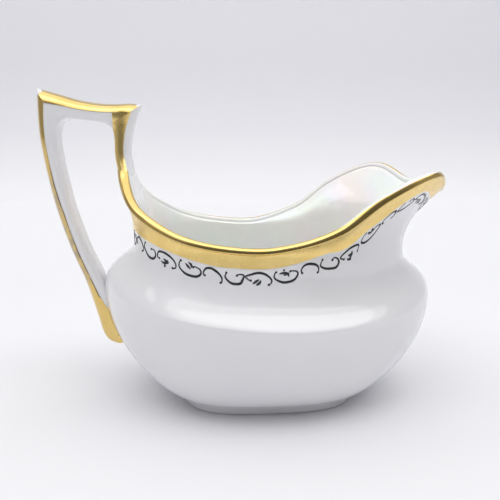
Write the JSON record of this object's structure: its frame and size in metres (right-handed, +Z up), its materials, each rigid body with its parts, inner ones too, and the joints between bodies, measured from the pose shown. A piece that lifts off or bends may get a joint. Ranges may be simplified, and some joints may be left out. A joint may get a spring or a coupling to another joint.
{
  "type": "cream jug",
  "caption": "Boat-shaped porcelain cream jug with a wavy gilt rim, a broad spout, an angular loop handle, a lustre inside and a painted scroll border.",
  "frame": {"origin": "middle of the foot, on the table", "axes": "+X to the spout, -X to the handle, +Y across the jug, +Z up"},
  "size_m": [0.1355, 0.084, 0.1045],
  "materials": {
    "porcelain": "clear glossy glaze on white porcelain",
    "pearl": "mother-of-pearl lustre over glaze",
    "gold": "burnished gilding with light wear",
    "enamel": "dark enamel painted over glaze"
  },
  "bodies": {
    "root": {"bowl": "porcelain", "foot_ring": "porcelain", "handle": "porcelain", "lustre_lining": "pearl", "rim_band": "gold", "lip_gilding": "gold", "handle_gilding": "gold", "stem_gilding": "gold", "terminal_gilding": "gold", "scroll_border": "enamel"}
  },
  "joints": []
}
